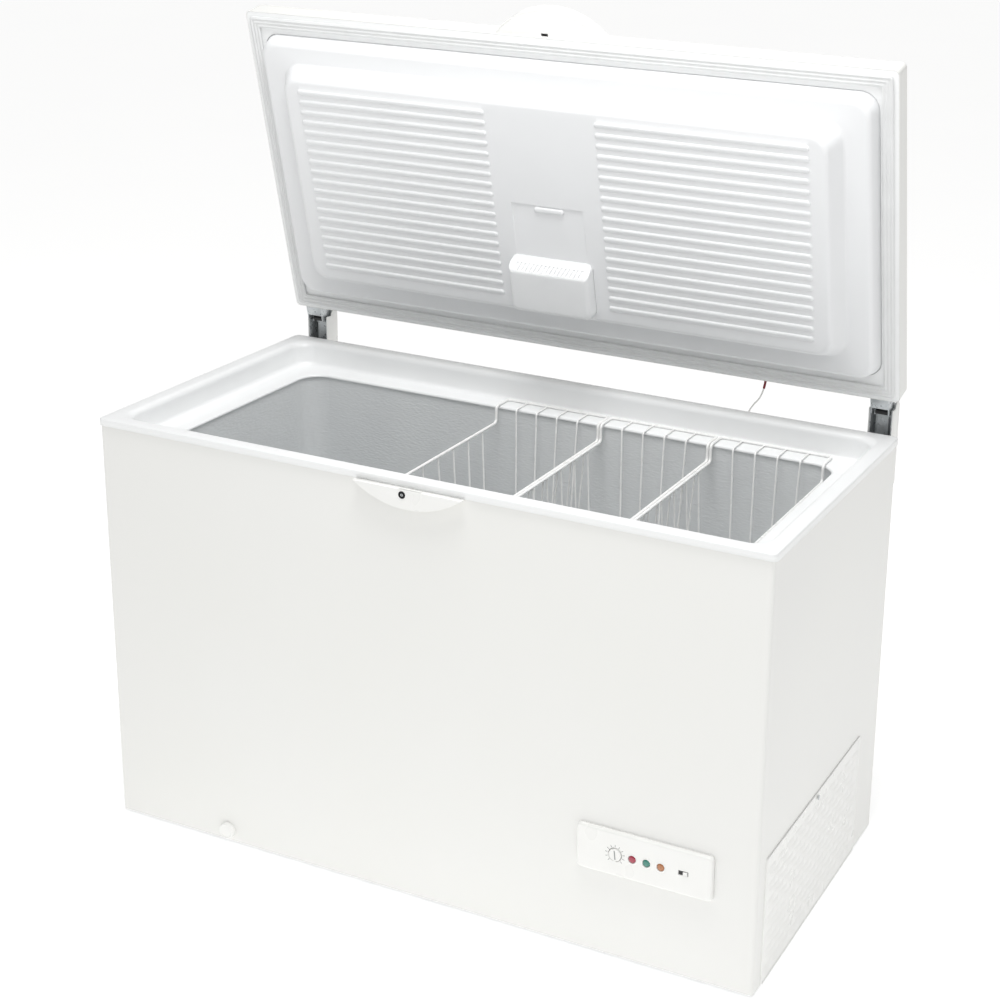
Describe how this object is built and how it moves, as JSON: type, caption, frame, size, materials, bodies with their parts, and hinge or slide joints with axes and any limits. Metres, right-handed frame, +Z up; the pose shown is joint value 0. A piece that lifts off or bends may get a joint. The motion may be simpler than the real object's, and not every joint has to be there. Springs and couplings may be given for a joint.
{
  "type": "chest freezer",
  "caption": "Long white chest freezer with its counterbalanced lid raised, wire baskets, recessed lid lamp, key lock, front drain and a machine bay behind a side grille.",
  "frame": {"origin": "on the floor, at the middle of the width and of the depth", "axes": "+X to the right of someone facing the front, +Y towards the hinges at the back, +Z up"},
  "size_m": [1.4062, 0.735, 1.6517],
  "materials": {
    "white_coated_steel": "smooth white powder coat",
    "white_rim_plastic": "satin white moulded plastic",
    "white_sheet_plastic": "satin white vacuum-formed sheet",
    "stucco_aluminium": "stucco-embossed bare sheet",
    "zinc_plated_steel": "bright zinc plate",
    "chrome_plated_steel": "bright chrome plate",
    "galvanised_steel": "galvanised sheet",
    "copper_tube": "bare copper tube",
    "black_compressor_paint": "black gloss paint",
    "black_rubber": "matt black rubber",
    "white_gasket_rubber": "soft matt extruded seal",
    "polyurethane_foam": "closed-cell foam",
    "black_plastic": "matt black moulding",
    "white_plastic": "satin white moulding",
    "grey_plastic": "satin grey moulding",
    "red_lens_plastic": "translucent red lens",
    "green_lens_plastic": "translucent green lens",
    "amber_lens_plastic": "translucent amber lens",
    "frosted_lamp_plastic": "translucent white diffuser",
    "lamp_glass": "frosted lamp glass",
    "white_cable_pvc": "white PVC sheath",
    "red_sleeve_rubber": "dark red sleeve",
    "white_coated_wire": "white plastic-coated wire",
    "blackened_lock_plate": "blackened nickel plate"
  },
  "bodies": {
    "cabinet": {"outer_case": "white_coated_steel", "rear_panel": "white_coated_steel", "rear_service_cover": "galvanised_steel", "base_pan": "galvanised_steel", "feet": "black_plastic", "rim_frame": "white_rim_plastic", "inner_liner": "stucco_aluminium", "insulation_foam": "polyurethane_foam", "condenser_tube": "zinc_plated_steel", "evaporator_tube": "copper_tube", "drain_tube": "grey_plastic", "compressor_rail": "galvanised_steel", "compressor_grommets": "black_rubber", "compressor": "black_compressor_paint", "start_relay": "black_plastic", "refrigerant_pipes": "copper_tube", "filter_drier": "copper_tube", "mains_inlet": "black_plastic", "side_grille": "white_plastic", "panel_screws": "zinc_plated_steel", "lock_plate": "white_plastic", "control_fascia": "white_plastic", "alarm_lens_red": "red_lens_plastic", "power_lens_green": "green_lens_plastic", "freeze_lens_amber": "amber_lens_plastic", "thermostat_body": "black_plastic", "hinge_body_left": "zinc_plated_steel", "hinge_body_right": "zinc_plated_steel", "hinge_cover_left": "white_plastic", "hinge_cover_right": "white_plastic", "hinge_springs": "galvanised_steel", "hinge_pins": "chrome_plated_steel", "hinge_screws": "zinc_plated_steel", "lamp_cable": "white_cable_pvc", "cable_grommet": "white_plastic"},
    "lid": {"lid_shell": "white_coated_steel", "lid_edge_frame": "white_rim_plastic", "lid_foam": "polyurethane_foam", "lid_inner_panel": "white_sheet_plastic", "lid_gasket": "white_gasket_rubber", "lid_handle": "white_plastic", "handle_plate": "white_plastic", "lamp_cover": "frosted_lamp_plastic", "lamp_holder": "white_plastic", "lamp_bulb": "lamp_glass", "hinge_leaf_left": "zinc_plated_steel", "hinge_leaf_right": "zinc_plated_steel", "leaf_screws": "zinc_plated_steel", "cable_sleeve": "red_sleeve_rubber"},
    "lock": {"lock_barrel": "blackened_lock_plate", "lock_cam": "zinc_plated_steel"},
    "dial": {"thermostat_dial": "white_plastic"},
    "fast_freeze_switch": {"fast_freeze_slider": "white_plastic"},
    "drain_cap": {"drain_cap": "white_plastic"},
    "drain_plug": {"drain_plug": "white_plastic"},
    "spring_carriages": {"hinge_carriages": "zinc_plated_steel", "hinge_rollers": "black_plastic"},
    "basket_left": {"basket_left": "white_coated_wire"},
    "basket_middle": {"basket_middle": "white_coated_wire"},
    "basket_right": {"basket_right": "white_coated_wire"}
  },
  "joints": [
    {"name": "lid_hinge", "type": "hinge", "parent": "cabinet", "child": "lid", "pos_m": [0, 0.3547, 0.905], "axis": [-1, 0, 0], "range_deg": [-77, 0], "deforming": ["lamp_cable"]},
    {"name": "spring_carriages", "type": "slide", "parent": "cabinet", "child": "spring_carriages", "axis": [0, 0, 1], "range_m": [-0.012, 0], "deforming": ["hinge_springs"]},
    {"name": "lock_turn", "type": "hinge", "parent": "cabinet", "child": "lock", "pos_m": [-0.009, -0.3635, 0.8357], "axis": [0, -1, 0], "range_deg": [0, 90]},
    {"name": "thermostat_dial", "type": "hinge", "parent": "cabinet", "child": "dial", "pos_m": [0.427, -0.361, 0.224], "axis": [0, -1, 0], "range_deg": [-270, 0]},
    {"name": "fast_freeze_switch", "type": "slide", "parent": "cabinet", "child": "fast_freeze_switch", "axis": [-1, 0, 0], "range_m": [0, 0.006]},
    {"name": "drain_cap_pull", "type": "slide", "parent": "cabinet", "child": "drain_cap", "axis": [0, -1, 0], "range_m": [0, 0.025]},
    {"name": "drain_plug_lift", "type": "slide", "parent": "cabinet", "child": "drain_plug", "axis": [0, 0, 1], "range_m": [0, 0.03]},
    {"name": "basket_left_lift", "type": "slide", "parent": "cabinet", "child": "basket_left", "axis": [0, 0, 1], "range_m": [0, 0.13]},
    {"name": "basket_middle_lift", "type": "slide", "parent": "cabinet", "child": "basket_middle", "axis": [0, 0, 1], "range_m": [0, 0.13]},
    {"name": "basket_right_lift", "type": "slide", "parent": "cabinet", "child": "basket_right", "axis": [0, 0, 1], "range_m": [0, 0.13]}
  ],
  "couplings": [
    {"joint": "spring_carriages", "follows": "lid_hinge", "m_per_rad": 0.0089}
  ]
}
